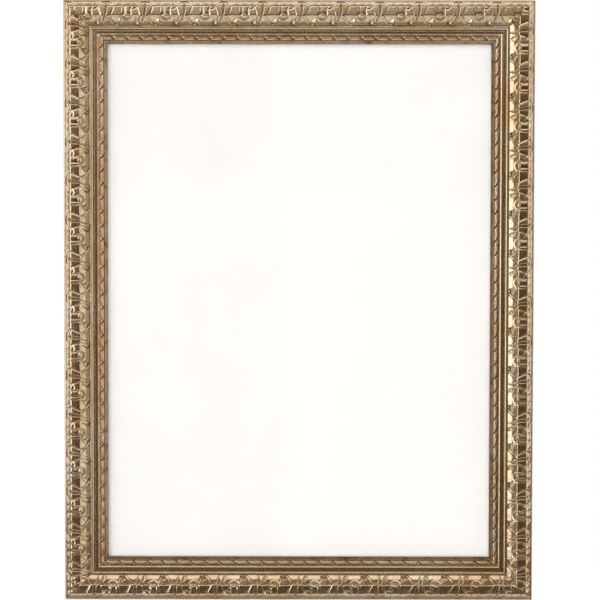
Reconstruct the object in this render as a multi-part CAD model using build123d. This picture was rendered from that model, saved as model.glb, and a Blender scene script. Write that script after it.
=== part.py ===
from build123d import *
import math
import os

os.makedirs("parts", exist_ok=True)

# Driving sizes, in millimetres. The frame stands upright and faces -Y.
# The wall that it hangs on is the plane Y = 0, and the origin is behind the frame's centre.

# The picture that the frame is made for, and how the rabbet holds it
picture_width = 457.2
picture_height = 609.6
fitting_gap = 1.5
lip_overlap = 6.0
glazing_thickness = 2.0
sheet_thickness = 1.5
filler_thickness = 6.0
backing_thickness = 3.0

# Steps across the moulding's face, from the outer edge inwards
border_width = 1.6
ornament_width = 27.2
quirk_width = 2.4
bead_width = 3.8
ovolo_width = 4.8
channel_floor_width = 0.6
channel_rise_width = 2.0
rope_width = 4.2
lip_width = 4.2

# Heights on the moulding, from its back plane forwards
border_height = 18.5
ornament_bed_height = 20.6
ornament_ridge_height = 25.6
quirk_height = 20.9
bead_base_height = 21.9
ovolo_height = 20.9
channel_height = 18.1
channel_rim_height = 19.4
rope_bed_height = 17.5
lip_shoulder_height = 18.7
lip_edge_thickness = 2.5
back_edge_chamfer = 1.0

# The pressed ornament, a leaf and tongue pattern
ornament_relief = 11.8
ornament_foot = 1.0
ornament_hem = 1.0
pattern_pitch = 45.2
bottom_stretch_share = 1.04
carving_depth = 1.9
edge_line_width = 1.3
slot_line_width = 1.9
cusp_radius = 1.5
left_pattern_shift = -4.2
right_pattern_shift = -1.3
top_pattern_shift = -2.9
bottom_pattern_shift = -3.5
knob_radius = 5.2
knob_rise = 1.3
crown_rise = 0.9

# The rope bead
rope_foot = 1.7
rope_pitch = 16.0
rope_cut_width = 1.6
rope_cut_depth = 1.2
rope_lay_angle = 45

# V nails in the mitres
nail_wing = 5.0
nail_thickness = 0.5
nail_height = 7.0
nail_depth = 0.3
nail_half_angle = 35
nail_places = (13.0, 30.0)

# Turn buttons
button_length = 38.0
button_width = 11.0
button_thickness = 1.2
button_end_margin = 8.0
button_edge_margin = 9.0
button_height_from_centre = 180.0

# Strap hangers and their D rings
hanger_height_from_centre = 117.0
hanger_edge_margin = 22.0
strap_length = 44.0
strap_width = 12.7
strap_thickness = 1.0
strap_hole_places = (21.0, 36.0)
ring_wire = 2.4
ring_gap = 0.3
ring_width = 20.0
ring_drop = 14.0
ring_corner_radius = 3.0
ring_bow_radius = 9.0
curl_gap = 0.8

# Wood screws
screw_shank_radius = 1.75
screw_hole_gap = 0.25
screw_length = 12.0
screw_point = 3.0
screw_head_radius = 3.3
screw_head_height = 2.2
screw_head_gap = 0.1
recess_width = 0.8
recess_length = 3.4
recess_depth = 1.0

# Bumpers
bumper_height = 6.0
bumper_radius = 6.0
bumper_edge_margin = 20.0
bumper_rounding = 1.2

# Spare length of a cutting tool past the face that it leaves
overrun = 5.0

# Sizes that follow
rabbet_width = lip_overlap + fitting_gap
rabbet_depth = glazing_thickness + sheet_thickness + filler_thickness + backing_thickness
ornament_end = border_width + ornament_width
bead_start = ornament_end + quirk_width
ovolo_start = bead_start + bead_width
channel_start = ovolo_start + ovolo_width
rise_start = channel_start + channel_floor_width
rope_start = rise_start + channel_rise_width
lip_start = rope_start + rope_width
moulding_width = lip_start + lip_width
bead_radius = bead_width / 2
lip_edge_height = rabbet_depth + lip_edge_thickness
crest_height = border_height + ornament_relief
sight_width = picture_width + 2 * fitting_gap - 2 * rabbet_width
sight_height = picture_height + 2 * fitting_gap - 2 * rabbet_width
frame_width = sight_width + 2 * moulding_width
frame_height = sight_height + 2 * moulding_width
back_plane = -bumper_height
ring_pivot_height = ring_wire / 2 + ring_gap + strap_thickness
tool_height = crest_height + 2 * overrun

# Each side's outer length, distance of its outer edge from the centre, and turn about Y
sides = {
    "bottom": (frame_width, frame_height / 2, 0),
    "top": (frame_width, frame_height / 2, 180),
    "left": (frame_height, frame_width / 2, 90),
    "right": (frame_height, frame_width / 2, -90),
}
pattern_shifts = {
    "bottom": bottom_pattern_shift,
    "top": top_pattern_shift,
    "left": left_pattern_shift,
    "right": right_pattern_shift,
}
stretch_shares = {"bottom": bottom_stretch_share, "top": 1, "left": 1, "right": 1}
# The right side's ornament was pressed the other way round
pattern_hands = {"bottom": 1, "top": 1, "left": 1, "right": -1}

# The bed under the ornament, as shares of the ornament's width
ridge_foot_share = 0.07
ridge_start_share = 0.26
ridge_end_share = 0.60
ridge_heel_share = 0.85

# The ornament's own section, as shares of its width and of its relief
flank_mid_shares = (0.13, 0.57)
shoulder_shares = (0.33, 0.93)
crest_shares = (0.48, 1.00)
brow_shares = (0.63, 0.95)
slope_shares = (0.80, 0.46)
trough_shares = (0.90, 0.30)

# The ovolo's fullest point, as shares of its width and of its fall
ovolo_middle_shares = (0.62, 0.20)


def section_point(width, height):
    return Vector(0, width, height)


def ornament_point(shares):
    width_share, relief_share = shares
    width = border_width + width_share * ornament_width
    return section_point(width, border_height + relief_share * ornament_relief)


def bed_points():
    """The line on which wood and ornament meet, from the bead outwards."""
    return [
        section_point(ornament_end, ornament_bed_height),
        section_point(border_width + ridge_heel_share * ornament_width, ornament_bed_height),
        section_point(border_width + ridge_end_share * ornament_width, ornament_ridge_height),
        section_point(border_width + ridge_start_share * ornament_width, ornament_ridge_height),
        section_point(border_width + ridge_foot_share * ornament_width, border_height),
        section_point(border_width, border_height),
    ]


def along_rail(face, length):
    """A moulding of one section, with its length along X, centred."""
    return extrude(face, amount=length / 2, dir=(1, 0, 0), both=True)


def mitre_block(length, height):
    """The room between the two mitre planes of a rail of this outer length."""
    half = length / 2
    outline = Polyline(
        (-half, 0),
        (half, 0),
        (half - moulding_width, moulding_width),
        (-half + moulding_width, moulding_width),
        close=True,
    )
    return extrude(make_face(outline), amount=height)


def rail_section():
    beds = bed_points()
    bead_middle = bead_start + bead_radius
    middle_share, fall_share = ovolo_middle_shares
    ovolo_middle = ovolo_start + middle_share * ovolo_width
    ovolo_middle_height = ovolo_height - fall_share * (ovolo_height - channel_height)
    lines = [
        Polyline(
            beds[5],
            section_point(0, border_height),
            section_point(0, back_edge_chamfer),
            section_point(back_edge_chamfer, 0),
            section_point(moulding_width - rabbet_width, 0),
            section_point(moulding_width - rabbet_width, rabbet_depth),
            section_point(moulding_width, rabbet_depth),
            section_point(moulding_width, lip_edge_height),
            section_point(lip_start, lip_shoulder_height),
            section_point(lip_start, rope_bed_height),
            section_point(rope_start, rope_bed_height),
            section_point(rope_start, channel_rim_height),
            section_point(rise_start, channel_height),
            section_point(channel_start, channel_height),
        ),
        ThreePointArc(
            section_point(channel_start, channel_height),
            section_point(ovolo_middle, ovolo_middle_height),
            section_point(ovolo_start, ovolo_height),
        ),
        Line(
            section_point(ovolo_start, ovolo_height),
            section_point(ovolo_start, bead_base_height),
        ),
        ThreePointArc(
            section_point(ovolo_start, bead_base_height),
            section_point(bead_middle, bead_base_height + bead_radius),
            section_point(bead_start, bead_base_height),
        ),
        Polyline(
            section_point(bead_start, bead_base_height),
            section_point(ornament_end, quirk_height),
            *beds,
        ),
    ]
    return make_face(lines)


def ornament_section():
    foot = section_point(border_width, border_height + ornament_foot)
    hem = section_point(ornament_end, ornament_bed_height + ornament_hem)
    shoulder = ornament_point(shoulder_shares)
    brow = ornament_point(brow_shares)
    slope = ornament_point(slope_shares)
    lines = [
        Polyline(hem, *bed_points(), foot),
        ThreePointArc(foot, ornament_point(flank_mid_shares), shoulder),
        ThreePointArc(shoulder, ornament_point(crest_shares), brow),
        Line(brow, slope),
        ThreePointArc(slope, ornament_point(trough_shares), hem),
    ]
    return make_face(lines)


# One repeat of the pattern in plan, as shares of its pitch and of the ornament's width
leaf_edge_shares = (
    (-0.195, 0.52),
    (-0.195, 0.07),
    (0.206, 0.07),
    (0.206, 0.35),
    (0.362, 0.35),
    (0.362, 0.79),
    (0.596, 0.79),
    (0.596, 0.30),
)
leaf_bend_shares = (0.13, 0.07, 0.07, 0.07, 0.11, 0.11)
slot_shares = ((0.0, 0.21), (0.035, 0.47), (0.069, 0.60), (0.109, 0.82))
crown_outer_shares = ((0.215, 0.58), (0.478, 0.91), (0.738, 0.58))
crown_inner_shares = ((0.622, 0.58), (0.478, 0.83), (0.338, 0.58))
knob_shares = (0.478, 0.65)
cusp_place_shares = (0.235, 0.345, 0.60, 0.78)


def plan_points(shares_list, pitch, hand):
    return [
        (hand * along_share * pitch, border_width + width_share * ornament_width)
        for along_share, width_share in shares_list
    ]


def carved_groove(line, width):
    """A tall block over a line drawn in plan, with round ends."""
    path = Wire(line.edges())
    outline = path.offset_2d(width / 2, kind=Kind.ARC, side=Side.BOTH)
    return extrude(make_face(outline), amount=tool_height)


def carved_lines(pitch, hand):
    """The sunk lines of one repeat: the leaf's edge, and the slot in its tongue."""
    bends = [share * pitch for share in leaf_bend_shares]
    leaf_edge = FilletPolyline(*plan_points(leaf_edge_shares, pitch, hand), radius=bends)
    slot = Polyline(*plan_points(slot_shares, pitch, hand))
    return [carved_groove(leaf_edge, edge_line_width), carved_groove(slot, slot_line_width)]


def cusp_cuts(pitch, hand):
    """The small notches between the lobes of the outer edge."""
    notch = Cylinder(cusp_radius, tool_height, align=(Align.CENTER, Align.CENTER, Align.MIN))
    places = [hand * share * pitch for share in cusp_place_shares]
    return [Pos(place, border_width, border_height) * notch for place in places]


def crown(section, pitch, hand):
    """The arch of the leaf, which stands a little proud over the knob."""
    outer = plan_points(crown_outer_shares, pitch, hand)
    inner = plan_points(crown_inner_shares, pitch, hand)
    lines = [
        ThreePointArc(*outer),
        Line(outer[2], inner[0]),
        ThreePointArc(*inner),
        Line(inner[2], outer[0]),
    ]
    plan = extrude(make_face(lines), amount=tool_height)
    raised = along_rail(Pos(0, 0, crown_rise) * section, 3 * pitch)
    return plan & raised


def slope_height(width_share):
    """Height of the plain ornament's straight inner slope at this share of its width."""
    brow_share, brow_relief_share = brow_shares
    slope_share, slope_relief_share = slope_shares
    part = (width_share - brow_share) / (slope_share - brow_share)
    relief_share = brow_relief_share + part * (slope_relief_share - brow_relief_share)
    return border_height + relief_share * ornament_relief


def knob(pitch, hand):
    along, across = plan_points([knob_shares], pitch, hand)[0]
    centre_height = slope_height(knob_shares[1]) + knob_rise - knob_radius
    return Pos(along, across, centre_height) * Sphere(knob_radius)


def ornament_run(side):
    """One side's pressed strip, with the same repeat all along it."""
    length = sides[side][0]
    pitch = pattern_pitch * stretch_shares[side]
    hand = pattern_hands[side]
    section = ornament_section()
    floor_section = section & Pos(0, 0, -carving_depth) * section
    span = 3 * pitch
    floor = along_rail(floor_section, span)
    cuts = [block - floor for block in carved_lines(pitch, hand)] + cusp_cuts(pitch, hand)
    wood = along_rail(rail_section(), span)
    proud = [crown(section, pitch, hand), knob(pitch, hand) - wood]
    count = math.ceil(length / 2 / pitch) + 1
    starts = [pattern_shifts[side] + step * pitch for step in range(-count, count + 1)]
    raised = [Pos(start, 0, 0) * body for start in starts for body in proud]
    sunk = [Pos(start, 0, 0) * body for start in starts for body in cuts]
    carved = (along_rail(section, length) + raised) - sunk
    # A crumb that a carved line and the mitre cut loose falls off
    return (carved & mitre_block(length, tool_height)).solids().sort_by(SortBy.VOLUME)[-1]


def rope_run(side):
    """A half round bead with slanting cuts, like a twisted cord."""
    length = sides[side][0]
    pitch = rope_pitch * stretch_shares[side]
    radius = rope_width / 2
    middle = rope_start + radius
    shoulder = rope_bed_height + rope_foot
    lines = [
        Polyline(
            section_point(rope_start, shoulder),
            section_point(rope_start, rope_bed_height),
            section_point(lip_start, rope_bed_height),
            section_point(lip_start, shoulder),
        ),
        ThreePointArc(
            section_point(lip_start, shoulder),
            section_point(middle, shoulder + radius),
            section_point(rope_start, shoulder),
        ),
    ]
    bead = along_rail(make_face(lines), length)
    top = shoulder + radius
    notch_outline = Polyline(
        (0, 0, -rope_cut_depth),
        (rope_cut_width / 2, 0, 0),
        (rope_cut_width / 2, 0, overrun),
        (-rope_cut_width / 2, 0, overrun),
        (-rope_cut_width / 2, 0, 0),
        close=True,
    )
    notch = extrude(make_face(notch_outline), amount=rope_width, dir=(0, 1, 0), both=True)
    count = math.ceil(length / 2 / pitch)
    places = [(step + 0.5) * pitch for step in range(-count, count)]
    cuts = [Pos(place, middle, top) * Rot(0, 0, rope_lay_angle) * notch for place in places]
    return (bead - cuts) & mitre_block(length, tool_height)


def stand_up(body, side):
    """Moves a rail that lies face up, with its outer edge along X, to its side of the frame."""
    reach, turn = sides[side][1:]
    return Pos(0, back_plane, 0) * Rot(0, turn, 0) * Pos(0, 0, -reach) * Rot(90, 0, 0) * body


def on_back(across, up, turn=0):
    """Places on the frame's back: local Z points to the wall, and local X follows the turn."""
    return Pos(across, back_plane, up) * Rot(0, turn, 0) * Rot(-90, 0, 0)


def v_nail():
    """Two wings that meet in the mitre, one in each rail."""
    wing = Box(nail_wing, nail_thickness, nail_height, align=(Align.MIN, Align.CENTER, Align.MAX))
    low = Rot(0, 0, -nail_half_angle) * wing
    high = Rot(0, 0, nail_half_angle) * wing
    return low + high


def corner_nails():
    nails = []
    for across, up, turn in ((-1, 1, 45), (1, 1, 135), (1, -1, -135), (-1, -1, -45)):
        for place in nail_places:
            x = across * (frame_width / 2 - place)
            z = up * (frame_height / 2 - place)
            nails.append(on_back(x, z, turn) * Pos(0, 0, -nail_depth) * v_nail())
    return nails


def wood_screw(seat_height):
    """A pan head screw that stands on a seat at this height above the wood."""
    low = Align.CENTER, Align.CENTER, Align.MIN
    high = Align.CENTER, Align.CENTER, Align.MAX
    shank_length = seat_height + screw_length - screw_point
    shank = Pos(0, 0, seat_height) * Cylinder(screw_shank_radius, shank_length, align=high)
    point = Cone(0, screw_shank_radius, screw_point, align=high)
    point = Pos(0, 0, seat_height - shank_length) * point
    head = Cylinder(screw_head_radius, screw_head_height, align=low)
    head = fillet(head.edges().group_by(Axis.Z)[-1], screw_head_height / 2)
    bar = Box(recess_length, recess_width, recess_depth, align=high)
    recess = Pos(0, 0, screw_head_height) * (bar + Rot(0, 0, 90) * bar)
    return shank + point + Pos(0, 0, seat_height) * (head - recess)


def turn_button():
    """A flat steel strip with round ends, with its screw hole at the origin."""
    plan = SlotOverall(button_length, button_width)
    plate = extrude(Pos(button_length / 2 - button_end_margin, 0, 0) * plan, amount=button_thickness)
    hole = Cylinder(screw_shank_radius + screw_hole_gap, 2 * button_thickness)
    return plate - Pos(0, 0, button_thickness / 2) * hole


def strap():
    """The hanger's plate, from its curl at the origin along X."""
    round_end = Pos(strap_length - strap_width / 2, 0, 0) * Circle(strap_width / 2)
    flat_length = strap_length - strap_width / 2
    flat = Pos(flat_length / 2, 0, 0) * Rectangle(flat_length, strap_width)
    plate = extrude(flat + round_end, amount=strap_thickness)
    bore_radius = ring_wire / 2 + ring_gap
    axle = Pos(0, 0, ring_pivot_height) * Rot(90, 0, 0)
    curl = axle * Cylinder(bore_radius + strap_thickness, strap_width)
    bore = axle * Cylinder(bore_radius, strap_width + overrun)
    slit = Pos(bore_radius, 0, strap_thickness + curl_gap / 2)
    slit = slit * Box(2 * bore_radius, strap_width + overrun, curl_gap)
    body = plate + curl - bore - slit
    hole = Cylinder(screw_shank_radius + screw_hole_gap, 2 * overrun)
    return body - [Pos(place, 0, 0) * hole for place in strap_hole_places]


def ring():
    """A D of wire: its bar lies in the curl along Y, and its bow hangs along X."""
    half = ring_width / 2
    corners = [(0, -half), (ring_drop, -half), (ring_drop, half), (0, half)]
    bends = [ring_corner_radius, ring_bow_radius, ring_bow_radius, ring_corner_radius]
    path = Wire(FilletPolyline(*corners, radius=bends, close=True).edges())
    start = path @ 0
    wire = sweep(Plane(origin=start, z_dir=path % 0) * Circle(ring_wire / 2), path=path)
    return Pos(0, 0, ring_pivot_height) * wire


def bumper():
    body = Cylinder(bumper_radius, bumper_height, align=(Align.CENTER, Align.CENTER, Align.MIN))
    return fillet(body.edges().group_by(Axis.Z)[-1], bumper_rounding)


def pack_sheet(thickness, depth):
    """A sheet of the picture's size in the rabbet, its back face this deep from the back plane."""
    sheet = Box(picture_width, thickness, picture_height, align=(Align.CENTER, Align.MAX, Align.CENTER))
    return Pos(0, back_plane - depth, 0) * sheet


# Each turn button's place on the back, and the turn that points it at the board
button_inset = moulding_width - rabbet_width - button_edge_margin
button_reach_x = frame_width / 2 - button_inset
button_reach_z = frame_height / 2 - button_inset
button_places = {
    "left_upper": (-button_reach_x, button_height_from_centre, 0),
    "left_lower": (-button_reach_x, -button_height_from_centre, 0),
    "right_upper": (button_reach_x, button_height_from_centre, 180),
    "right_lower": (button_reach_x, -button_height_from_centre, 180),
    "top": (0, button_reach_z, 90),
    "bottom": (0, -button_reach_z, -90),
}
hanger_reach = frame_width / 2 - hanger_edge_margin
hanger_places = {
    "left": (-hanger_reach, hanger_height_from_centre, 90),
    "right": (hanger_reach, hanger_height_from_centre, 90),
}
bumper_places = [
    (side * (frame_width / 2 - bumper_edge_margin), -frame_height / 2 + bumper_edge_margin)
    for side in (-1, 1)
]

button_screw = wood_screw(button_thickness + screw_head_gap)
button_screws = [on_back(*place) * button_screw for place in button_places.values()]
strap_screw = wood_screw(strap_thickness + screw_head_gap)
strap_screws = [
    on_back(*place) * Pos(hole, 0, 0) * strap_screw
    for place in hanger_places.values()
    for hole in strap_hole_places
]
nails = corner_nails()

parts = {}
for side in sides:
    length = sides[side][0]
    rail = along_rail(rail_section(), length) & mitre_block(length, tool_height)
    fixings = nails + button_screws + strap_screws
    parts[side + "_rail"] = stand_up(rail, side) - fixings
    parts[side + "_ornament"] = stand_up(ornament_run(side), side)
    parts[side + "_rope_bead"] = stand_up(rope_run(side), side)

parts["corner_nails"] = Compound(nails)
parts["backing_board"] = pack_sheet(backing_thickness, 0)
parts["filler_board"] = pack_sheet(filler_thickness, backing_thickness)
parts["white_sheet"] = pack_sheet(sheet_thickness, backing_thickness + filler_thickness)
parts["glazing"] = pack_sheet(glazing_thickness, rabbet_depth - glazing_thickness)

for name, place in button_places.items():
    parts[name + "_turn_button"] = on_back(*place) * turn_button()
parts["turn_button_screws"] = Compound(button_screws)

for name, place in hanger_places.items():
    parts[name + "_hanger_strap"] = on_back(*place) * strap()
    parts[name + "_hanger_ring"] = on_back(*place) * ring()
parts["hanger_screws"] = Compound(strap_screws)
parts["bumpers"] = Compound([on_back(*place) * bumper() for place in bumper_places])

for name, body in parts.items():
    export_step(body, f"parts/{name}.step")
print(len(parts), "nodes; frame", round(frame_width, 1), "by", round(frame_height, 1))
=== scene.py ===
import math

import bpy
import numpy as np
from mathutils import Matrix, Vector, noise


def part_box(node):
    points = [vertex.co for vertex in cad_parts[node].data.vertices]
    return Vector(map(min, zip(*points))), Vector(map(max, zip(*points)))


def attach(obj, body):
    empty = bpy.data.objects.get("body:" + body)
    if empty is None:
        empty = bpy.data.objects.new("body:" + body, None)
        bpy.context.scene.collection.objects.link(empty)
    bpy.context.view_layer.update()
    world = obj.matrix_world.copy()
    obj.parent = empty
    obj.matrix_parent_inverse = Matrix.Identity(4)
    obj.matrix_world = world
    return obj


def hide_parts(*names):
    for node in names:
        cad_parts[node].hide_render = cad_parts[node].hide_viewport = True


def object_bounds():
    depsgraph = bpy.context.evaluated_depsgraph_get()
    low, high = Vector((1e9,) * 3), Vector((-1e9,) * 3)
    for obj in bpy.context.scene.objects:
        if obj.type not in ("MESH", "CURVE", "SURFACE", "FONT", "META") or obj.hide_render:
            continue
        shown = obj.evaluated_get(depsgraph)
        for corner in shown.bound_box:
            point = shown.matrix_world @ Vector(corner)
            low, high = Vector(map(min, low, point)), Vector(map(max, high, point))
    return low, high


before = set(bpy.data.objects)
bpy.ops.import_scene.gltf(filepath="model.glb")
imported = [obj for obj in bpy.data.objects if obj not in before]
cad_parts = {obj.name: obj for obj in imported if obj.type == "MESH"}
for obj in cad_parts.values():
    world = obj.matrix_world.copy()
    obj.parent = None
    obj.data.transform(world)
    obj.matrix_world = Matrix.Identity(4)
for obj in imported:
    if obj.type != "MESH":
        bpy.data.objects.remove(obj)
cadLow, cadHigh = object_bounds()
bpy.context.scene.view_settings.view_transform = "Standard"
print("frame loaded:", len(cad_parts), "nodes")

# Pieces are shaped in millimetres, lying face up: x along the rail, y inwards, z forwards.
millimetre = 0.001
frameHalfWide = cadHigh.x / millimetre
frameHalfHigh = cadHigh.z / millimetre
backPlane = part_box("bumpers")[0].y  # the bumpers start on the rails' back
sides = {
    "bottom": {"along": (1, 0, 0), "inward": (0, 0, 1), "reach": frameHalfHigh, "half": frameHalfWide},
    "top": {"along": (-1, 0, 0), "inward": (0, 0, -1), "reach": frameHalfHigh, "half": frameHalfWide},
    "left": {"along": (0, 0, -1), "inward": (1, 0, 0), "reach": frameHalfWide, "half": frameHalfHigh},
    "right": {"along": (0, 0, 1), "inward": (-1, 0, 0), "reach": frameHalfWide, "half": frameHalfHigh},
}
weldDistance = 0.001
repeatWeldDistance = 0.01
creaseAngle = 50

# The small unevenness of pressed, gessoed and rubbed work: slow waves, and quick ones on them.
# It fades towards the flat back, which is left as it was sawn.
unevenness = {
    "seedSteps": (37.1, 11.7, 5.3),
    "quickSizeShare": 0.3,
    "quickAmountShare": 0.4,
    "fullFrom": 12,
}


# Helpers for meshes

def chooseOnly(piece):
    bpy.ops.object.select_all(action="DESELECT")
    piece.select_set(True)
    bpy.context.view_layer.objects.active = piece


def addGrid(name, columns, rows):
    bpy.ops.object.select_all(action="DESELECT")
    bpy.ops.mesh.primitive_grid_add(x_subdivisions=columns, y_subdivisions=rows, size=1)
    piece = bpy.context.active_object
    piece.name = name
    piece.data.name = name
    return piece


def readPoints(piece):
    flat = np.empty(len(piece.data.vertices) * 3)
    piece.data.vertices.foreach_get("co", flat)
    return flat.reshape(-1, 3)


def movePoints(piece, points):
    piece.data.vertices.foreach_set("co", np.ascontiguousarray(points).ravel())
    piece.data.update()


def addAttribute(piece, name, values):
    layer = piece.data.attributes.new(name, "FLOAT", "POINT")
    layer.data.foreach_set("value", np.ascontiguousarray(values, dtype=np.float32).ravel())


def applyModifier(piece, kind, **settings):
    chooseOnly(piece)
    modifier = piece.modifiers.new(kind.title(), kind)
    for name, value in settings.items():
        setattr(modifier, name, value)
    bpy.ops.object.modifier_apply(modifier=modifier.name)


def closeSeam(piece):
    chooseOnly(piece)
    bpy.ops.object.mode_set(mode="EDIT")
    bpy.ops.mesh.select_all(action="SELECT")
    bpy.ops.mesh.remove_doubles(threshold=weldDistance)
    bpy.ops.mesh.normals_make_consistent(inside=False)
    bpy.ops.object.mode_set(mode="OBJECT")


def bendRound(piece, lengths, across, face, bed, wear):
    # the grid is bent round the section: face, bed, and back to its first row
    acrossRows = np.concatenate([across, [point[0] for point in bed], across[:1]])
    bedHeights = np.repeat([[point[1]] for point in bed], len(lengths), axis=1)
    heights = np.vstack([face, bedHeights, face[:1]])
    points = np.empty(heights.shape + (3,))
    points[..., 0] = lengths
    points[..., 1] = acrossRows[:, None]
    points[..., 2] = heights
    movePoints(piece, points.reshape(-1, 3))
    for name, values in zip(("hollow", "raised"), wear):
        values = np.hstack([values, values[:, :1]])
        under = np.zeros((len(bed), len(lengths)))
        addAttribute(piece, name, np.vstack([values, under, values[:1]]))
    closeSeam(piece)


def repeatAlong(piece, count, pitch):
    applyModifier(
        piece, "ARRAY", count=count, use_relative_offset=False, use_constant_offset=True,
        constant_offset_displace=(pitch, 0, 0), use_merge_vertices=True,
        merge_threshold=repeatWeldDistance,
    )


def cutMitres(piece, half):
    # both ends are sawn at 45 degrees and closed
    chooseOnly(piece)
    bpy.ops.object.mode_set(mode="EDIT")
    for end in (-1, 1):
        bpy.ops.mesh.select_all(action="SELECT")
        bpy.ops.mesh.bisect(
            plane_co=(end * half, 0, 0), plane_no=(end, 1, 0), use_fill=True, clear_outer=True
        )
    bpy.ops.mesh.select_all(action="SELECT")
    bpy.ops.mesh.normals_make_consistent(inside=False)
    bpy.ops.object.mode_set(mode="OBJECT")


def handWork(piece, amount, size, seed, highest=None):
    points = readPoints(piece)
    offset = Vector([seed * step for step in unevenness["seedSteps"]])
    for point in points:
        place = Vector(point)
        slow = noise.noise(place / size + offset)
        quick = noise.noise(place / (size * unevenness["quickSizeShare"]) + offset)
        strength = min(max(point[2] / unevenness["fullFrom"], 0), 1)
        point[2] += amount * (slow + unevenness["quickAmountShare"] * quick) * strength
    if highest is not None:
        points[:, 2] = np.minimum(points[:, 2], highest)
    movePoints(piece, points)


def smoothFaces(piece, degrees):
    chooseOnly(piece)
    bpy.ops.object.shade_smooth_by_angle(angle=math.radians(degrees))


def standUp(piece, side):
    # from the bench to its side of the frame, in metres
    place = sides[side]
    along = Vector(place["along"])
    inward = Vector(place["inward"])
    origin = Vector((0, backPlane, 0)) - inward * place["reach"] * millimetre
    columns = [along * millimetre, inward * millimetre, Vector((0, -millimetre, 0)), origin]
    matrix = Matrix([[column[row] for column in columns] for row in range(3)] + [[0, 0, 0, 1]])
    piece.data.transform(matrix)
    smoothFaces(piece, creaseAngle)


def finishPiece(piece, material, node):
    piece.data.materials.clear()
    piece.data.materials.append(material)
    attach(piece, "frame")
    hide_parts(node)


# Helpers for relief worked out on a grid of places

def smoothStep(low, high, value):
    share = np.clip((value - low) / (high - low), 0, 1)
    return share * share * (3 - 2 * share)


def ridge(value, middle, width):
    return np.exp(-(((value - middle) / width) ** 2))


def blendMax(first, second, width):
    share = np.clip(0.5 + 0.5 * (first - second) / width, 0, 1)
    return second + (first - second) * share + width * share * (1 - share)


def throughPoints(value, points):
    return np.interp(value, [point[0] for point in points], [point[1] for point in points])


def flowingLine(points, steps=8):
    # a smooth line through the given points
    known = [np.array(point, float) for point in points]
    known = [2 * known[0] - known[1]] + known + [2 * known[-1] - known[-2]]
    line = []
    for before, start, end, after in zip(known, known[1:], known[2:], known[3:]):
        for share in np.arange(steps) / steps:
            bend = 2 * before - 5 * start + 4 * end - after
            turn = 3 * (start - end) + after - before
            line.append(start + 0.5 * share * ((end - before) + share * (bend + share * turn)))
    return np.array(line + [known[-2]])


def distanceTo(points, along, across):
    # how far each place is from a flowing line, and the share of the line where it is nearest
    line = flowingLine(points)
    nearest = np.full(along.shape, np.inf)
    share = np.zeros(along.shape)
    for count, (start, end) in enumerate(zip(line, line[1:])):
        run = end - start
        part = ((along - start[0]) * run[0] + (across - start[1]) * run[1]) / (run @ run)
        part = np.clip(part, 0, 1)
        gap = np.hypot(along - start[0] - part * run[0], across - start[1] - part * run[1])
        closer = gap < nearest
        nearest = np.where(closer, gap, nearest)
        share = np.where(closer, (count + part) / (len(line) - 1), share)
    return nearest, share


def softened(field, passes):
    # averages neighbours, round the repeat along the rail and up to the edges across it
    for _ in range(passes):
        field = (np.roll(field, 1, 1) + 2 * field + np.roll(field, -1, 1)) / 4
        padded = np.pad(field, ((1, 1), (0, 0)), "edge")
        field = (padded[:-2] + 2 * field + padded[2:]) / 4
    return field


def wearOf(height, passes, depth):
    # 0 to 1: how hollow and how raised each place is against what surrounds it
    difference = softened(height, passes) - height
    return np.clip(difference / depth, 0, 1), np.clip(-difference / depth, 0, 1)


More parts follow.
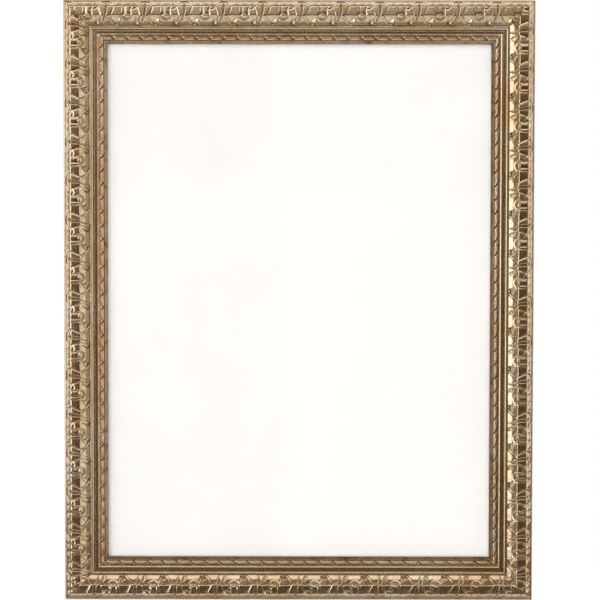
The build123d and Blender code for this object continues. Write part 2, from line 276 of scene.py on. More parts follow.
# The pressed ornament: a leaf with a turned over tip, and a tongue with a slot, in turn.
# Places along start at the slot's outer end, and places across at the rail's outer edge.
ornament = {
    "pitch": 45.2,
    "stretch": {"bottom": 1.04, "top": 1, "left": 1, "right": 1},
    "shift": {"bottom": -3.5, "top": -2.9, "left": -4.2, "right": -1.3},
    "hand": {"bottom": 1, "top": 1, "left": 1, "right": -1},
    "start": 1.6,
    "end": 29.8,
    "first": -12,
    "columns": 96,
    "rows": 58,
    "highest": 30.8,
    "softening": 1,
    "wear": {"passes": 10, "depth": 1.0},
    "handWork": {"amount": 0.07, "size": 9.0},
    "bed": [(29.8, 20.0), (24.7, 19.0), (18.0, 22.5), (8.7, 22.5), (3.5, 17.2), (1.6, 17.2)],
    # heights across the rail: the swell from the outer edge to the brow, and what lies inside it
    "crest": [
        (1.6, 19.0), (2.6, 21.0), (3.6, 23.0), (4.8, 25.2), (6.0, 27.0), (7.1, 28.5), (8.0, 29.3),
        (8.8, 29.7), (9.7, 29.9), (14.0, 30.1), (18.0, 30.2), (19.4, 30.1), (19.9, 29.8),
    ],
    "tongueFall": [
        (19.9, 0), (20.6, 0.6), (21.8, 1.65), (23.2, 2.9), (24.6, 4.15), (25.8, 5.1), (27.2, 5.8),
        (28.4, 6.4), (29.8, 7.2),
    ],
    "ground": [
        (1.6, 18.9), (4.8, 24.3), (6.5, 26.8), (9.2, 29.3), (14.0, 29.75), (18.9, 29.7), (19.9, 29.0),
        (21.6, 27.1), (23.4, 25.4), (25.0, 24.0), (26.2, 23.3), (27.6, 22.8), (28.8, 22.3), (29.8, 21.9),
    ],
    # the turned over tip: its middle, and the two lobes beside it
    "tipTop": [
        (17.6, 30.2), (19.2, 30.1), (20.0, 29.6), (21.2, 28.6), (22.8, 27.1), (24.4, 25.65), (25.8, 24.5),
        (27.0, 23.8), (28.4, 23.1), (29.8, 22.3),
    ],
    "lobeTop": [
        (17.6, 30.2), (19.4, 30.1), (20.0, 29.6), (20.8, 28.7), (21.8, 28.0), (26.2, 27.2), (27.2, 26.2),
        (28.4, 24.1), (29.2, 22.7), (29.8, 22.2),
    ],
    # the zones where the inner and the outer slope start, and how softly forms join
    "brow": (19.0, 21.0),
    "flank": (9, 6),
    "softJoin": 0.4,
    "leaf": {
        "from": -4, "centre": 21.5, "half": 15.5, "edgeSlope": 4, "legFall": 0.5, "legHalf": 15,
        "turn": (19.2, 20.4), "nearSide": 7.5, "nearSlope": 0.34, "farSide": 6.5, "farSlope": 0.27,
        "farLobe": (5.8, 7.8),
    },
    "tongue": {"fall": 0.6, "edgeSlope": 4},
    "tongueHalf": [
        (2.4, 1.0), (4.8, 6.0), (9.3, 9.0), (14.4, 8.2), (19.3, 6.6), (23, 8.0), (27.5, 11.5), (29.8, 13.2),
    ],
    "tongueMiddle": [(2.4, 0), (9.3, 0.3), (18.4, 0.6), (23, 1.2), (27.5, 1.5), (29.8, 1.6)],
    # the sunk ground between the tongue's curled tips
    "pool": {
        "depth": 1.1, "start": (20.0, 22.4),
        "left": {"place": (-1.0, 20.4), "slope": 1.02, "bank": (0, 1.0)},
        "right": {"place": (0.2, 20.2), "slope": 0.42, "bank": (-0.4, 0.4)},
    },
    # carved lines: their depth on the swell, and what the inner and the outer slope add to it
    "tongueEdge": {
        "depth": 0.45, "inside": 0.95, "outside": 0.85, "width": 0.75, "flare": 0.15,
        "points": [
            (-11.5, 28.4), (-8.3, 25.7), (-5.6, 22.0), (-5.4, 18.4), (-7.6, 13.4), (-8.6, 9.4),
            (-5.7, 4.7), (0, 2.6), (5.5, 4.5), (9.3, 9.4), (11.2, 11.3), (13.6, 12.2), (15.4, 11.6),
        ],
    },
    "rightEdge": {
        "depth": 0.45, "inside": 0.55, "outside": 0, "width": 0.75, "flare": 0,
        "points": [(9.6, 9.7), (8.0, 14.4), (7.0, 19.3), (8.2, 23.9), (10.5, 27.5)],
    },
    "archLine": {
        "depth": 0.45, "inside": 0.55, "outside": 0, "width": 0.7, "flare": 0,
        "points": [
            (15.0, 9.3), (17.0, 11.9), (16.8, 15.4), (16.0, 18.8), (17.4, 21.7), (21.5, 23.2),
            (25.4, 21.8), (27.0, 18.8), (27.3, 14.4), (27.3, 9.8),
        ],
    },
    "slot": {
        "depth": 2.4, "shallowing": 1.2, "width": 1.3, "narrowing": 0.55,
        "points": [(0, 6.7), (0.3, 12.4), (0.9, 17.4), (2.4, 21.5), (4.4, 26.5)],
    },
    # the hollow inside the arch, with its stems, a knob and a small curl
    "arch": {
        "springing": 18.0, "radius": 5.6, "edge": (0.5, -0.6), "start": (2.0, 7.0), "depth": 0.6,
        "shallowShare": 0.3, "deepens": (14.4, 18.4),
    },
    "stems": [
        {"place": 20.3, "width": 1.7, "height": 0.4},
        {"place": 26.3, "width": 1.1, "height": 0.3},
        {"place": 24.1, "width": 0.9, "height": -0.3},
    ],
    "stemStart": (2.5, 6.0),
    "stemEnd": (20.9, 18.4),
    "domes": [
        {"place": (21.4, 20.8), "reach": (4.4, 2.8), "height": 1.5},
        {"place": (13.2, 10.2), "reach": (2.3, 1.8), "height": 0.15},
    ],
    # the scalloped outer edge, with a wavy line cut outside its lobes
    "scallops": {
        "lobes": [(13.0, 2.6), (20.5, 4.6), (30.0, 3.4)], "height": 1.3, "middle": 4.8, "width": 1.6,
    },
    "edgeLine": {"middle": 2.9, "sway": 0.5, "centre": 20.5, "length": 1.9, "depth": 0.45, "width": 0.55},
}


def leafHeight(fromCentre, across):
    leaf = ornament["leaf"]
    crest = throughPoints(across, ornament["crest"])
    aside = np.abs(fromCentre)
    legs = crest - leaf["legFall"] * (aside / leaf["legHalf"]) ** 4
    # inside the brow the tip is turned over, and its lobes roll down sideways to the ground
    near = -fromCentre - leaf["nearSide"]
    far = fromCentre - leaf["farSide"]
    lobes = throughPoints(across, ornament["lobeTop"])
    lobes = lobes - leaf["farSlope"] * (far + np.sqrt(far**2 + 1))
    middle = throughPoints(across, ornament["tipTop"])
    middle = middle - leaf["nearSlope"] * (near + np.sqrt(near**2 + 1))
    farShare = smoothStep(*leaf["farLobe"], fromCentre)
    tip = lobes * farShare + middle * (1 - farShare)
    share = smoothStep(*leaf["turn"], across)
    height = legs * (1 - share) + tip * share
    return height - leaf["edgeSlope"] * np.clip(aside - leaf["half"], 0, None)


def tongueHeight(along, across):
    tongue = ornament["tongue"]
    crest = throughPoints(across, ornament["crest"]) - throughPoints(across, ornament["tongueFall"])
    middle = throughPoints(across, ornament["tongueMiddle"])
    half = throughPoints(across, ornament["tongueHalf"])
    part = np.abs(along - middle) / half
    height = crest - tongue["fall"] * np.clip(part, 0, 1) ** 4
    return height - tongue["edgeSlope"] * np.clip(part - 1, 0, None)


def poolDepth(along, across):
    pool = ornament["pool"]
    left, right = pool["left"], pool["right"]
    fromLeft = along - left["place"][0] + (across - left["place"][1]) * left["slope"]
    fromRight = right["place"][0] + (across - right["place"][1]) * right["slope"] - along
    depth = pool["depth"] * smoothStep(*left["bank"], fromLeft) * smoothStep(*right["bank"], fromRight)
    return depth * smoothStep(*pool["start"], across)


def lineDepth(line, along, across):
    gap, _ = distanceTo(line["points"], along, across)
    inside = smoothStep(*ornament["brow"], across)
    outside = smoothStep(*ornament["flank"], across)
    depth = line["depth"] + line["inside"] * inside + line["outside"] * outside
    return depth * np.exp(-((gap / (line["width"] + line["flare"] * outside)) ** 2))


def slotDepth(along, across):
    slot = ornament["slot"]
    gap, share = distanceTo(slot["points"], along, across)
    width = slot["width"] - slot["narrowing"] * share
    return (slot["depth"] - slot["shallowing"] * share) * np.exp(-((gap / width) ** 3))


def archDepth(fromCentre, across):
    arch = ornament["arch"]
    inside = np.hypot(fromCentre, np.clip(across - arch["springing"], 0, None)) - arch["radius"]
    hollow = smoothStep(*arch["edge"], inside) * smoothStep(*arch["start"], across)
    shallow = arch["shallowShare"]
    return arch["depth"] * hollow * (shallow + (1 - shallow) * smoothStep(*arch["deepens"], across))


def stemHeight(leafAlong, across):
    stem = 0
    for part in ornament["stems"]:
        stem = stem + part["height"] * ridge(leafAlong, part["place"], part["width"])
    return stem * smoothStep(*ornament["stemStart"], across) * smoothStep(*ornament["stemEnd"], across)


def withOuterEdge(height, leafAlong, across):
    scallops, line = ornament["scallops"], ornament["edgeLine"]
    for place, reach in scallops["lobes"]:
        lobe = np.clip(1 - ((leafAlong - place) / reach) ** 2, 0, 1)
        height = height + scallops["height"] * lobe * ridge(across, scallops["middle"], scallops["width"])
    wave = line["middle"] + line["sway"] * np.cos((leafAlong - line["centre"]) / line["length"])
    return height - line["depth"] * ridge(across, wave, line["width"])


def ornamentHeight(along, across):
    # along runs over one repeat from its first place, and the leaf is seen whole
    leaf = ornament["leaf"]
    leafAlong = np.where(along < leaf["from"], along + ornament["pitch"], along)
    fromCentre = leafAlong - leaf["centre"]
    height = blendMax(leafHeight(fromCentre, across), tongueHeight(along, across), ornament["softJoin"])
    height = blendMax(height, throughPoints(across, ornament["ground"]), ornament["softJoin"])
    height = height - poolDepth(along, across)
    height = height - lineDepth(ornament["tongueEdge"], along, across)
    height = height - lineDepth(ornament["rightEdge"], leafAlong, across)
    height = height - slotDepth(along, across)
    height = height - archDepth(fromCentre, across)
    height = height - lineDepth(ornament["archLine"], leafAlong, across)
    height = height + stemHeight(leafAlong, across)
    for dome in ornament["domes"]:
        rise = 1 - ((leafAlong - dome["place"][0]) / dome["reach"][0]) ** 2
        rise = rise - ((across - dome["place"][1]) / dome["reach"][1]) ** 2
        height = height + dome["height"] * np.sqrt(np.clip(rise, 0, 1))
    return withOuterEdge(height, leafAlong, across)


def makeOrnament(side):
    stretch = ornament["stretch"][side]
    pitch = ornament["pitch"] * stretch
    columns, rows, bed = ornament["columns"], ornament["rows"], ornament["bed"]
    piece = addGrid("carved_" + side, columns, rows + len(bed) + 1)
    along = np.linspace(0, ornament["pitch"], columns + 1) + ornament["first"]
    across = np.linspace(ornament["start"], ornament["end"], rows + 1)
    face = ornamentHeight(*np.meshgrid(along, across))
    face[:, :-1] = softened(face[:, :-1], ornament["softening"])
    face[:, -1] = face[:, 0]
    lengths = (along - ornament["first"]) * pitch / ornament["pitch"]
    bendRound(piece, lengths, across, face, bed, wearOf(face[:, :-1], **ornament["wear"]))
    half = sides[side]["half"]
    count = math.ceil(2 * half / pitch) + 2
    repeatAlong(piece, count, pitch)
    # slide the run so that a slot lies at the side's own place, and turn it for the hand
    points = readPoints(piece)
    points[:, 0] += ornament["first"] * pitch / ornament["pitch"] - (count // 2) * pitch
    points[:, 0] = ornament["hand"][side] * points[:, 0] + ornament["shift"][side]
    movePoints(piece, points)
    cutMitres(piece, half)
    handWork(piece, **ornament["handWork"], seed=len(side), highest=ornament["highest"])
    standUp(piece, side)
    return piece


# The rails' plain section, from the back round the outside to the lip
rail = {
    "step": 4.0,
    "outside": [(1.0, 0), (0, 1.0), (0, 17.6), (0.3, 18.2), (1.6, 18.8)],
    "quirk": [(29.8, 21.5), (30.3, 21.3), (30.8, 21.6), (31.2, 21.6)],
    "bead": [
        (31.2, 22.1), (31.3, 22.7), (31.6, 23.25), (32.0, 23.6), (32.4, 23.75), (32.9, 23.6), (33.4, 23.25),
        (33.9, 22.8), (34.4, 22.2), (34.7, 21.6), (34.9, 21.0),
    ],
    "ledge": [
        (34.9, 20.4), (35.4, 20.8), (36.4, 20.9), (38.7, 20.85), (39.2, 20.6), (39.7, 20.3), (40.6, 19.4),
    ],
    "channel": [(41.9, 18.2), (42.3, 18.6), (42.3, 17.5), (46.5, 17.5)],
    "lip": [(46.5, 18.6), (47.2, 18.8), (50.4, 15.4)],
    "rabbet": [(50.4, 12.5), (43.3, 12.5), (43.3, 0)],
    "bevel": {"width": 0.25, "segments": 2, "angle_limit": math.radians(30)},
    "handWork": {"amount": 0.07, "size": 30.0},
    # how much toning lies at each distance from the outer edge, on what is in front of the rabbet
    "hollow": [
        (0, 0.05), (1.6, 0.15), (29.8, 0.2), (30.3, 0.3), (30.8, 0.3), (31.2, 0.5), (31.3, 0), (34.6, 0),
        (34.9, 0.9), (35.4, 0.5), (38.3, 0.45), (38.8, 0.05), (41.6, 0.05), (41.8, 0.3), (42.3, 0.8),
        (46.5, 0.8), (47.2, 0.6), (50.4, 0.7),
    ],
    "frontFrom": 13,
    # how raised a place counts where there is no toning
    "raised": 0.5,
    # the painted flank lies outside the first and below the second
    "flank": (0.2, 18.0),
    # bare wood lies on the back, and inside the rabbet's wall
    "bareBack": 1.5,
    "bareInside": 43.2,
}


def railSection():
    names = ("quirk", "bead", "ledge", "channel", "lip", "rabbet")
    parts = [rail["outside"], ornament["bed"][::-1]] + [rail[name] for name in names]
    return np.array([point for part in parts for point in part])


def makeRail(side):
    half = sides[side]["half"]
    section = railSection()
    columns = math.ceil(2 * half / rail["step"])
    piece = addGrid("moulding_" + side, columns, len(section))
    closed = np.vstack([section, section[:1]])
    along = np.linspace(-half - rail["step"], half + rail["step"], columns + 1)
    points = np.empty((len(closed), columns + 1, 3))
    points[..., 0] = along
    points[..., 1] = closed[:, :1]
    points[..., 2] = closed[:, 1:]
    movePoints(piece, points.reshape(-1, 3))
    closeSeam(piece)
    applyModifier(piece, "BEVEL", limit_method="ANGLE", **rail["bevel"])
    cutMitres(piece, half)
    points = readPoints(piece)
    across, height = points[:, 1], points[:, 2]
    inFront = height > rail["frontFrom"]
    hollow = throughPoints(across, rail["hollow"]) * inFront
    inRabbet = (across > rail["bareInside"]) * (height < rail["frontFrom"])
    addAttribute(piece, "hollow", hollow)
    addAttribute(piece, "raised", np.clip(rail["raised"] - hollow, 0, 1))
    addAttribute(piece, "flank", (across < rail["flank"][0]) * (height < rail["flank"][1]))
    addAttribute(piece, "bareWood", (height < rail["bareBack"]) + inRabbet)
    handWork(piece, **rail["handWork"], seed=len(side))
    standUp(piece, side)
    return piece


# The rope bead: long lozenges between slanting cuts, each with a vein from one cut to the next
rope = {
    "pitch": 16.0,
    "columns": 44,
    "rows": 24,
    "middle": 44.4,
    "reach": 2.1,
    "foot": 19.2,
    "edgeDrop": 0.2,
    "bed": [(46.5, 17.5), (42.3, 17.5)],
    "cut": 1.5,
    "cutWidth": 0.95,
    "swell": 0.8,
    "swellPower": 2.5,
    "vein": {
        "depth": 0.45, "width": 0.45, "start": (2.5, 1.1), "slope": 0.2,
        "opens": (1.2, 3.0), "closes": (14.8, 13.0),
    },
    "fade": (1, 0.75),
    "wear": {"passes": 10, "depth": 0.6},
    "handWork": {"amount": 0.12, "size": 9.0},
    "firstSeed": 5,
}


def ropeHeight(along, across):
    vein = rope["vein"]
    fromMiddle = across - rope["middle"]
    side = np.clip(1 - (fromMiddle / rope["reach"]) ** 2, 0, 1)
    height = rope["foot"] + rope["reach"] * np.sqrt(side)
    place = (along + across - rope["middle"]) % rope["pitch"]
    fromCut = np.minimum(place, rope["pitch"] - place)
    depth = rope["cut"] * np.exp(-((fromCut / rope["cutWidth"]) ** 2))
    depth = depth + rope["swell"] * np.abs(2 * place / rope["pitch"] - 1) ** rope["swellPower"]
    veinAcross = rope["middle"] + vein["start"][1] - (place - vein["start"][0]) * vein["slope"]
    window = smoothStep(*vein["opens"], place) * smoothStep(*vein["closes"], place)
    depth = depth + vein["depth"] * ridge(across, veinAcross, vein["width"]) * window
    fade = smoothStep(*rope["fade"], np.abs(fromMiddle) / rope["reach"])
    return np.maximum(height - depth * fade, rope["foot"] - rope["edgeDrop"])


def makeRope(side):
    pitch = rope["pitch"] * ornament["stretch"][side]
    columns, rows, bed = rope["columns"], rope["rows"], rope["bed"]
    piece = addGrid("rope_" + side, columns, rows + len(bed) + 1)
    along = np.linspace(0, rope["pitch"], columns + 1)
    across = rope["middle"] - rope["reach"] * np.cos(np.linspace(0, math.pi, rows + 1))
    face = ropeHeight(*np.meshgrid(along, across))
    face[:, -1] = face[:, 0]
    lengths = along * pitch / rope["pitch"]
    bendRound(piece, lengths, across, face, bed, wearOf(face[:, :-1], **rope["wear"]))
    half = sides[side]["half"]
    count = math.ceil(half / pitch) * 2
    repeatAlong(piece, count, pitch)
    points = readPoints(piece)
    points[:, 0] -= (count - 1) * pitch / 2
    movePoints(piece, points)
    cutMitres(piece, half)
    handWork(piece, **rope["handWork"], seed=len(side) + rope["firstSeed"])
    standUp(piece, side)
    return piece


# The white sheet behind the glass lies flat, and doesn't quite touch it
sheet = {
    "columns": 46,
    "rows": 61,
    "thickness": 1.2,
    "gap": 0.12,
    "handWork": {"amount": 0.03, "size": 180.0, "seed": 3},
    "bevel": {"width": 0.15, "segments": 1, "angle_limit": math.radians(60)},
    "creaseAngle": 30,
}


def makeSheet():
    low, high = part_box("white_sheet")
    piece = addGrid("paper_sheet", sheet["columns"], sheet["rows"])
    points = readPoints(piece) * ((high.x - low.x) / millimetre, (high.z - low.z) / millimetre, 1)
    movePoints(piece, points)
    handWork(piece, **sheet["handWork"])
    applyModifier(piece, "SOLIDIFY", thickness=sheet["thickness"], offset=-1)
    applyModifier(piece, "BEVEL", limit_method="ANGLE", **sheet["bevel"])
    front = low.y + sheet["gap"] * millimetre
    upright = [(millimetre, 0, 0, 0), (0, 0, -millimetre, front), (0, millimetre, 0, 0), (0, 0, 0, 1)]
    piece.data.transform(Matrix(upright))
    smoothFaces(piece, sheet["creaseAngle"])
    return piece


# Helpers for materials

class Finish:
    # a procedural material on Object coordinates, with one shader
    def __init__(self, name):
        self.material = bpy.data.materials.new(name)
        self.material.use_nodes = True
        self.tree = self.material.node_tree
        self.shader = self.tree.nodes["Principled BSDF"]
        self.places = self.add("ShaderNodeTexCoord").outputs["Object"]

    def add(self, kind, inputs=(), **settings):
        node = self.tree.nodes.new(kind)
        for name, value in settings.items():
            setattr(node, name, value)
        for name, value in dict(inputs).items():
            self.feed(node.inputs[name], value)
        return node

    def feed(self, socket, value):
        if isinstance(value, bpy.types.NodeSocket):
            self.tree.links.new(value, socket)
        else:
            socket.default_value = value

    def set(self, **values):
        for name, value in values.items():
            socket = "".join(" " + c if c.isupper() else c for c in name).strip()
            self.feed(self.shader.inputs[socket[0].upper() + socket[1:]], value)

    def speckle(self, size, detail=4, roughness=0.55, stretch=None):
        # noise whose spots are about this size, in metres
        vector = self.places
        if stretch is not None:
            vector = self.add("ShaderNodeMapping", {"Vector": vector, "Scale": stretch}).outputs[0]
        inputs = {"Vector": vector, "Scale": 1 / size, "Detail": detail, "Roughness": roughness}
        return self.add("ShaderNodeTexNoise", inputs).outputs["Fac"]

    def attribute(self, name):
        return self.add("ShaderNodeAttribute", attribute_name=name).outputs["Fac"]

    def maths(self, operation, first, second=0.0):
        node = self.add("ShaderNodeMath", operation=operation)
        self.feed(node.inputs[0], first)
        self.feed(node.inputs[1], second)
        return node.outputs[0]

    def between(self, value, low, high, least=0.0, most=1.0):
        inputs = {"Value": value, "From Min": low, "From Max": high, "To Min": least, "To Max": most}
        return self.add("ShaderNodeMapRange", inputs, clamp=True).outputs["Result"]

    def mix(self, share, first, second):
        node = self.add("ShaderNodeMix", data_type="RGBA")
        self.feed(node.inputs[0], share)
        self.feed(node.inputs[6], first)
        self.feed(node.inputs[7], second)
        return node.outputs[2]

    def bump(self, height, distance, normal=None):
        node = self.add("ShaderNodeBump", {"Height": height, "Distance": distance, "Strength": 1.0})
        if normal is not None:
            self.feed(node.inputs["Normal"], normal)
        return node.outputs["Normal"]


def colour(red, green, blue):
    # screen colour from 0 to 255 made a shader colour
    shares = [part / 255 for part in (red, green, blue)]
    return tuple(s / 12.92 if s <= 0.04045 else ((s + 0.055) / 1.055) ** 2.4 for s in shares) + (1,)


# In these dictionaries a pattern is the size of its spots in metres, its detail and its roughness.
# A range is where on a pattern something starts and is full, and how strong it is at both.

# Gilding: champagne coloured leaf, rubbed, toned brown in the hollows
gilding = {
    "pale": colour(212, 194, 167),
    "warm": colour(202, 175, 138),
    "olive": colour(178, 160, 120),
    "clay": colour(148, 98, 72),
    "umber": colour(96, 64, 34),
    "patches": (0.045, 3),
    "mottle": (0.009, 5, 0.6),
    "grains": (0.0016, 3, 0.6),
    "warmPatches": (0.35, 0.65),
    "oliveMottle": (0.52, 0.75, 0, 0.55),
    "rubbedGrains": (0.56, 0.72),
    "rubbedMottle": (0.40, 0.60, 0.05, 0.75),
    "rubbedEdges": (0, 0.6, 0.35, 1.0),
    "tonedMottle": (0.30, 0.55, 0.25, -0.10),
    "tonedGrains": (0.35, 0.65, 0.10, -0.12),
    "toned": (0.12, 0.95, 0.0, 0.95),
    "rubbedShare": 0.8,
    "metal": (0, 1, 1.0, 0.95),
    "roughness": (0, 1, 0.23, 0.4),
    "roughGrains": (0.3, 0.7, -0.06, 0.06),
    "grainBump": 0.00003,
    "mottleBump": 0.00010,
}
# The rails also show paint on their flanks, and bare wood behind
railFinish = {
    "paint": colour(142, 112, 74),
    "paintMottle": (0.35, 0.6, 0.9, 0.45),
    "paintShare": 0.6,
    "wood": colour(196, 160, 116),
    "woodDark": colour(150, 112, 72),
    "bareMottle": (0.3, 0.7, -0.25, 0.25),
    "bareEdge": (0.45, 0.55),
    "bareRoughness": 0.3,
    "streaks": (0.03, 6, 0.65),
    "darkStreaks": (0.35, 0.7),
    "stretch": {"level": (1, 14, 14), "upright": (14, 14, 1)},
}


def makeGilding(name, grain=None):
    # grain says which way the wood of a rail runs
    f = Finish(name)
    hollow, raised = f.attribute("hollow"), f.attribute("raised")
    patches = f.speckle(*gilding["patches"])
    mottle = f.speckle(*gilding["mottle"])
    grains = f.speckle(*gilding["grains"])
    leaf = f.mix(f.between(patches, *gilding["warmPatches"]), gilding["pale"], gilding["warm"])
    leaf = f.mix(f.between(mottle, *gilding["oliveMottle"]), leaf, gilding["olive"])
    rubbedSpots = f.between(mottle, *gilding["rubbedMottle"])
    rubbed = f.maths("MULTIPLY", f.between(grains, *gilding["rubbedGrains"]), rubbedSpots)
    rubbed = f.maths("MULTIPLY", rubbed, f.between(raised, *gilding["rubbedEdges"]))
    leaf = f.mix(rubbed, leaf, gilding["clay"])
    toning = f.maths("ADD", hollow, f.between(mottle, *gilding["tonedMottle"]))
    toning = f.maths("ADD", toning, f.between(grains, *gilding["tonedGrains"]))
    toning = f.between(toning, *gilding["toned"])
    surface = f.mix(toning, leaf, gilding["umber"])
    covered = f.maths("MAXIMUM", toning, f.maths("MULTIPLY", rubbed, gilding["rubbedShare"]))
    metal = f.between(covered, *gilding["metal"])
    roughGrains = f.between(grains, *gilding["roughGrains"])
    rough = f.maths("ADD", f.between(toning, *gilding["roughness"]), roughGrains)
    if grain is not None:
        painted = f.between(mottle, *railFinish["paintMottle"])
        painted = f.maths("MULTIPLY", f.attribute("flank"), painted)
        surface = f.mix(painted, surface, railFinish["paint"])
        bare = f.maths("ADD", f.attribute("bareWood"), f.between(mottle, *railFinish["bareMottle"]))
        bare = f.between(bare, *railFinish["bareEdge"])
        streaks = f.speckle(*railFinish["streaks"], railFinish["stretch"][grain])
        streaks = f.between(streaks, *railFinish["darkStreaks"])
        surface = f.mix(bare, surface, f.mix(streaks, railFinish["wood"], railFinish["woodDark"]))
        dull = f.maths("ADD", bare, f.maths("MULTIPLY", painted, railFinish["paintShare"]))
        metal = f.maths("MULTIPLY", metal, f.between(dull, 0, 1, 1, 0))
        rough = f.maths("ADD", rough, f.maths("MULTIPLY", bare, railFinish["bareRoughness"]))
    f.set(baseColor=surface, metallic=metal, roughness=rough)
    small = f.bump(grains, gilding["grainBump"])
    f.set(normal=f.bump(mottle, gilding["mottleBump"], small))
    return f.material


# Finishes of what lies in and behind the frame
glassIor = 1.5
paper = {
    "cool": colour(244, 244, 243),
    "warm": colour(247, 246, 243),
    "tooth": (0.0012, 4),
    "cloudy": (0.08, 2),
    "warmClouds": (0.35, 0.65),
    "roughness": 0.85,
    "specular": 0.2,
    "bump": 0.00002,
}
board = {
    "fibreDetail": (8, 0.7),
    "cloudy": (0.05, 3),
    "darkFibres": (0.35, 0.65, 0, 0.7),
    "darkClouds": (0.35, 0.65, 0, 0.3),
    "roughness": (0.3, 0.7, 0.62, 0.80),
}
greyCard = {"light": colour(186, 184, 178), "dark": colour(158, 155, 148), "size": 0.003, "bump": 0.00004}
hardboard = {"light": colour(142, 104, 68), "dark": colour(100, 68, 40), "size": 0.0035, "bump": 0.00010}
steel = {
    "spots": (0.004, 4, 0.6),
    "dullSpots": (0.4, 0.72),
    "streaks": (0.002, 5, 0.6),
    "streakRange": (0.3, 0.7),
    "smoother": 0.07,
    "rougher": 0.1,
    "bump": 0.00002,
}
nickelPlate = {"bright": colour(206, 203, 196), "dull": colour(168, 162, 152), "roughness": 0.26}
zincPlate = {"bright": colour(190, 192, 194), "dull": colour(140, 140, 138), "roughness": 0.36}
rubber = {
    "clean": colour(52, 48, 44),
    "dusty": colour(88, 82, 76),
    "dust": (0.002, 5, 0.6),
    "dustRange": (0.45, 0.7),
    "roughness": 0.7,
    "bump": 0.00003,
}


def makeGlass():
    # shadows pass straight through, so that the sheet behind is lit
    f = Finish("clear_glass")
    f.set(baseColor=(1, 1, 1, 1), roughness=0.0, transmissionWeight=1.0)
    f.shader.inputs["IOR"].default_value = glassIor
    clear = f.add("ShaderNodeBsdfTransparent")
    path = f.add("ShaderNodeLightPath")
    choice = f.add("ShaderNodeMixShader")
    f.feed(choice.inputs[0], path.outputs["Is Shadow Ray"])
    f.feed(choice.inputs[1], f.shader.outputs[0])
    f.feed(choice.inputs[2], clear.outputs[0])
    f.feed(f.tree.nodes["Material Output"].inputs["Surface"], choice.outputs[0])
    return f.material


def makePaper():
    f = Finish("white_paper")
    tooth = f.speckle(*paper["tooth"])
    cloudy = f.speckle(*paper["cloudy"])
    tint = f.mix(f.between(cloudy, *paper["warmClouds"]), paper["cool"], paper["warm"])
    f.set(baseColor=tint, roughness=paper["roughness"])
    f.shader.inputs["Specular IOR Level"].default_value = paper["specular"]
    f.set(normal=f.bump(tooth, paper["bump"]))
    return f.material


def makeBoard(name, light, dark, size, bump):
    f = Finish(name)
    fibres = f.speckle(size, *board["fibreDetail"])
    cloudy = f.speckle(*board["cloudy"])
    shade = f.between(fibres, *board["darkFibres"])
    shade = f.maths("ADD", shade, f.between(cloudy, *board["darkClouds"]))
    f.set(baseColor=f.mix(shade, light, dark), roughness=f.between(fibres, *board["roughness"]))
    f.set(normal=f.bump(fibres, bump))
    return f.material


def makeSteel(name, bright, dull, roughness):
    f = Finish(name)
    spots = f.speckle(*steel["spots"])
    streaks = f.speckle(*steel["streaks"])
    tone = f.mix(f.between(spots, *steel["dullSpots"]), bright, dull)
    least, most = roughness - steel["smoother"], roughness + steel["rougher"]
    f.set(baseColor=tone, metallic=1.0, roughness=f.between(streaks, *steel["streakRange"], least, most))
    f.set(normal=f.bump(streaks, steel["bump"]))
    return f.material


def makeRubber():
    f = Finish("bumper_rubber")
    dust = f.speckle(*rubber["dust"])
    tone = f.mix(f.between(dust, *rubber["dustRange"]), rubber["clean"], rubber["dusty"])
    f.set(baseColor=tone, roughness=rubber["roughness"])
    f.set(normal=f.bump(dust, rubber["bump"]))
    return f.material


# The carved, moulded and gilded pieces
carvedGilt = makeGilding("antique_gilding")
levelGilt = makeGilding("gilded_rail_level", "level")
uprightGilt = makeGilding("gilded_rail_upright", "upright")
for side in sides:
    finishPiece(makeOrnament(side), carvedGilt, side + "_ornament")
    railGilt = levelGilt if side in ("bottom", "top") else uprightGilt
    finishPiece(makeRail(side), railGilt, side + "_rail")
    finishPiece(makeRope(side), carvedGilt, side + "_rope_bead")
    print("made the", side, "side")

finishPiece(makeSheet(), makePaper(), "white_sheet")
print("made the sheet")

# The other pieces keep their own shapes
nickel = makeSteel("nickel_plate", **nickelPlate)
zinc = makeSteel("zinc_plate", **zincPlate)
finishes = {
    "glazing": makeGlass(),
    "filler_board": makeBoard("grey_card", **greyCard),
    "backing_board": makeBoard("hardboard", **hardboard),
    "corner_nails": zinc,
    "turn_button_screws": zinc,
    "hanger_screws": zinc,
    "left_hanger_strap": nickel,
    "right_hanger_strap": nickel,
    "left_hanger_ring": nickel,
    "right_hanger_ring": nickel,
    "bumpers": makeRubber(),
}
for name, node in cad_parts.items():
    material = nickel if name.endswith("turn_button") else finishes.get(name)
    if material is not None:
        node.data.materials.clear()
        node.data.materials.append(material)
print("materials given")


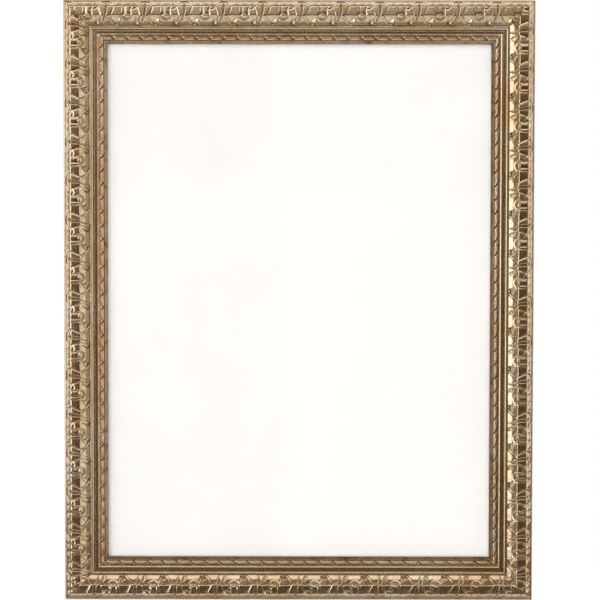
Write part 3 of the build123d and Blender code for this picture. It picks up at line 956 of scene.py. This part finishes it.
# The studio: soft panels round a dim front, in front of a white backdrop.
# A panel's glow of 1 is as bright as white paper in full light.
studio = {
    "camera": {
        "place": (0.0012, -2.03, 0.0765), "target": (0.0012, 0, 0.0012), "lens": 103.4, "sensor": 36,
        "roll": 0.09,
    },
    "panels": {
        "leftFront": {"place": (-1.4, -1.6, 0.35), "faces": (1, 0, 0), "size": (1.8, 2.1), "glow": 2.2},
        "leftBeside": {"place": (-1.4, 0.37, 0.35), "faces": (1, 0, 0), "size": (1.05, 2.1), "glow": 0.55},
        "aboveFront": {"place": (-0.1, -1.78, 1.5), "faces": (0, 0, -1), "size": (2.2, 1.65), "glow": 1.35},
        "aboveBehind": {"place": (-0.1, 0.35, 1.5), "faces": (0, 0, -1), "size": (2.2, 1.1), "glow": 0.6},
        "aboveCamera": {"place": (0, -2.3, 0.96), "faces": (0, 1, 0), "size": (2.4, 0.76), "glow": 0.4},
        "belowFront": {"place": (0, -1.4, -1.05), "faces": (0, 0, 1), "size": (2.4, 0.8), "glow": 0.3},
        "below": {"place": (0, -0.52, -1.05), "faces": (0, 0, 1), "size": (2.4, 0.9), "glow": 0.65},
        "rightFront": {"place": (1.5, -1.45, 0.25), "faces": (-1, 0, 0), "size": (1.3, 1.9), "glow": 0.4},
        "right": {"place": (1.5, -0.25, 0.25), "faces": (-1, 0, 0), "size": (1.0, 1.9), "glow": 1.15},
        "back": {"place": (0.3, 2.4, 0.5), "faces": (0, -1, -0.2), "size": (2.4, 2.4), "glow": 0.9},
    },
    # the fill lights paper and wood evenly, and metal doesn't mirror it
    "fill": {"place": (0, -2.4, 0.1), "faces": (0, 1, 0), "size": (3.6, 3.6), "glow": 1.38},
    # the room's glow rises from low to high between two directions, given by how far they point up
    "room": {"colour": (1, 0.68, 0.4, 1), "from": -0.3, "to": 0.1, "low": 0.07, "high": 0.16},
    "floor": {
        "drop": 0.75, "near": -0.5, "far": 4.0, "half": 4.5, "colour": colour(190, 190, 190),
        "roughness": 0.9, "toCamera": 0.95, "toMetal": 0.05,
    },
    "backdrop": {"distance": 4.0, "half": 9.0},
}


def addCamera():
    settings = studio["camera"]
    bpy.ops.object.camera_add(location=settings["place"])
    camera = bpy.context.active_object
    aim = Vector(settings["target"]) - Vector(settings["place"])
    camera.rotation_mode = "QUATERNION"
    turn = Matrix.Rotation(math.radians(settings["roll"]), 4, "Z")
    camera.rotation_quaternion = (aim.to_track_quat("-Z", "Y").to_matrix().to_4x4() @ turn).to_quaternion()
    camera.data.lens = settings["lens"]
    camera.data.sensor_width = settings["sensor"]
    bpy.context.scene.camera = camera


def addPanel(name, place, faces, size, glow):
    bpy.ops.object.light_add(type="AREA", location=place)
    lamp = bpy.context.active_object
    lamp.name = name
    lamp.rotation_mode = "QUATERNION"
    lamp.rotation_quaternion = Vector(faces).to_track_quat("-Z", "Y")
    lamp.data.shape = "RECTANGLE"
    lamp.data.size, lamp.data.size_y = size
    lamp.data.energy = glow * math.pi * size[0] * size[1]
    lamp.visible_camera = False
    return lamp


def rayShare(tree, shares):
    # the largest of the shares given to the kinds of ray that reach a surface
    path = tree.nodes.new("ShaderNodeLightPath")
    largest = None
    for name, share in shares.items():
        scaled = tree.nodes.new("ShaderNodeMath")
        scaled.operation = "MULTIPLY"
        tree.links.new(path.outputs[name], scaled.inputs[0])
        scaled.inputs[1].default_value = share
        if largest is not None:
            join = tree.nodes.new("ShaderNodeMath")
            join.operation = "MAXIMUM"
            tree.links.new(largest, join.inputs[0])
            tree.links.new(scaled.outputs[0], join.inputs[1])
            scaled = join
        largest = scaled.outputs[0]
    return largest


def addBackdrop():
    settings = studio["backdrop"]
    bpy.ops.object.select_all(action="DESELECT")
    bpy.ops.mesh.primitive_plane_add(
        size=2 * settings["half"], location=(0, settings["distance"], 0), rotation=(math.pi / 2, 0, 0)
    )
    wall = bpy.context.active_object
    wall.name = "backdrop"
    material = bpy.data.materials.new("white_backdrop")
    material.use_nodes = True
    tree = material.node_tree
    tree.nodes.clear()
    glow = tree.nodes.new("ShaderNodeEmission")
    shares = {"Is Camera Ray": 1, "Is Glossy Ray": 1, "Is Transmission Ray": 1}
    tree.links.new(rayShare(tree, shares), glow.inputs["Strength"])
    out = tree.nodes.new("ShaderNodeOutputMaterial")
    tree.links.new(glow.outputs[0], out.inputs["Surface"])
    wall.data.materials.append(material)


def addFloor():
    settings = studio["floor"]
    middle = (settings["near"] + settings["far"]) / 2
    bpy.ops.object.select_all(action="DESELECT")
    bpy.ops.mesh.primitive_plane_add(size=2, location=(0, middle, cadLow.z - settings["drop"]))
    floor = bpy.context.active_object
    floor.name = "floor"
    floor.scale = (settings["half"], (settings["far"] - settings["near"]) / 2, 1)
    bpy.ops.object.transform_apply(location=False, rotation=False, scale=True)
    f = Finish("pale_floor")
    f.set(baseColor=settings["colour"], roughness=settings["roughness"])
    f.shader.inputs["Emission Color"].default_value = (1, 1, 1, 1)
    bright, dim = settings["toCamera"], settings["toMetal"]
    shares = {"Is Camera Ray": bright, "Is Transmission Ray": bright, "Is Glossy Ray": dim}
    f.feed(f.shader.inputs["Emission Strength"], rayShare(f.tree, shares))
    floor.data.materials.append(f.material)


def addRoom():
    # white where the camera looks past everything, and a dim room for all else
    settings = studio["room"]
    world = bpy.data.worlds.new("studio_room")
    bpy.context.scene.world = world
    world.use_nodes = True
    tree = world.node_tree
    room = tree.nodes["Background"]
    room.inputs["Color"].default_value = settings["colour"]
    direction = tree.nodes.new("ShaderNodeTexCoord")
    parts = tree.nodes.new("ShaderNodeSeparateXYZ")
    level = tree.nodes.new("ShaderNodeMapRange")
    tree.links.new(direction.outputs["Generated"], parts.inputs[0])
    tree.links.new(parts.outputs["Z"], level.inputs["Value"])
    for socket, name in (("From Min", "from"), ("From Max", "to"), ("To Min", "low"), ("To Max", "high")):
        level.inputs[socket].default_value = settings[name]
    tree.links.new(level.outputs["Result"], room.inputs["Strength"])
    white = tree.nodes.new("ShaderNodeBackground")
    white.inputs["Color"].default_value = (1, 1, 1, 1)
    path = tree.nodes.new("ShaderNodeLightPath")
    choice = tree.nodes.new("ShaderNodeMixShader")
    tree.links.new(path.outputs["Is Camera Ray"], choice.inputs[0])
    tree.links.new(room.outputs[0], choice.inputs[1])
    tree.links.new(white.outputs[0], choice.inputs[2])
    tree.links.new(choice.outputs[0], tree.nodes["World Output"].inputs["Surface"])


addCamera()
for name, settings in studio["panels"].items():
    addPanel(name, **settings)
addPanel("fill", **studio["fill"]).visible_glossy = False
addBackdrop()
addFloor()
addRoom()
print("studio set")
